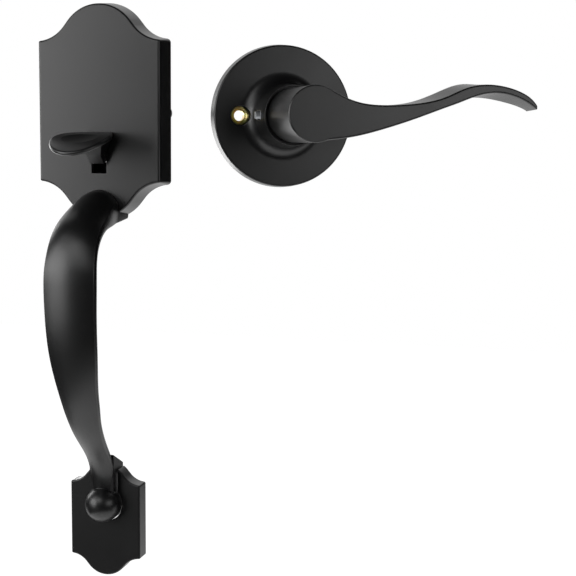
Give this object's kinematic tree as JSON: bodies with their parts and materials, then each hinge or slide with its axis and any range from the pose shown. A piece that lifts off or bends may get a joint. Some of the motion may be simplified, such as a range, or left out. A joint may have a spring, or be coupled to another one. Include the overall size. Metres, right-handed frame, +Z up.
{
  "type": "entry door handleset",
  "caption": "Matt black entry door handleset: ogee escutcheon with thumb piece, pull grip and lower escutcheon, and an inside wave lever on a round rose",
  "frame": {"origin": "On the latch axis, on the door's outside face that the outside half is screwed to", "axes": "X to the right seen from outside, Y into the door, Z up"},
  "size_m": [0.2346, 0.091, 0.2791],
  "materials": {
    "black_finish": "matt black powder coat on cast zinc",
    "zinc_steel": "bright zinc-plated steel",
    "zinc_cast": "bare die-cast zinc",
    "spring_steel": "oiled spring steel",
    "yellow_zinc": "yellow zinc plating",
    "black_nylon": "black nylon"
  },
  "bodies": {
    "root": {"outside_plate": "black_finish", "chassis_plate": "zinc_steel", "chassis_screws": "zinc_steel", "mounting_posts": "zinc_steel", "thumb_pin": "zinc_steel", "slide_rivets": "zinc_steel", "lift_spring": "spring_steel", "grip": "black_finish", "grip_screw": "zinc_steel", "lower_plate": "black_finish", "rose": "black_finish", "inside_chassis": "zinc_steel", "screw_bushes": "yellow_zinc", "spring_cover": "zinc_steel", "return_spring": "spring_steel", "neck_bush": "black_nylon"},
    "thumb": {"thumb_piece": "black_finish"},
    "lift": {"lift_slide": "zinc_steel"},
    "hub": {"outside_hub": "zinc_cast", "hub_clip": "spring_steel", "outside_spindle": "zinc_steel"},
    "handle": {"lever": "black_finish", "drive_tube": "zinc_steel", "retaining_ring": "spring_steel", "inside_spindle": "zinc_steel", "catch_spring": "spring_steel"},
    "catch": {"lever_catch": "zinc_steel"}
  },
  "joints": [
    {"name": "thumb_pivot", "type": "hinge", "parent": "root", "child": "thumb", "pos_m": [0, -0.0055, -0.019], "axis": [1, 0, 0], "range_deg": [0, 20]},
    {"name": "lift_travel", "type": "slide", "parent": "root", "child": "lift", "axis": [0, 0, 1], "range_m": [0, 0.00556], "stiffness_N_per_m": 60, "springref_m": -0.01, "deforming": ["lift_spring"]},
    {"name": "hub_turn", "type": "hinge", "parent": "root", "child": "hub", "pos_m": [0, 0, 0], "axis": [0, -1, 0], "range_deg": [0, 41.75]},
    {"name": "lever_turn", "type": "hinge", "parent": "root", "child": "handle", "pos_m": [0.08305, 0.01005, -0.0016], "axis": [0.4879, -0.8729, 0], "range_deg": [-45, 45], "stiffness_Nm_per_rad": 1.5, "springref_deg": 2.58, "deforming": ["return_spring"]},
    {"name": "catch_press", "type": "slide", "parent": "handle", "child": "catch", "axis": [0.8729, 0.4879, 0], "range_m": [0, 0.002], "stiffness_N_per_m": 300, "springref_m": -0.003, "deforming": ["catch_spring"]}
  ],
  "couplings": [
    {"joint": "lift_travel", "follows": "thumb_pivot", "m_per_rad": 0.015919},
    {"joint": "hub_turn", "follows": "thumb_pivot", "ratio": 2.0867}
  ]
}
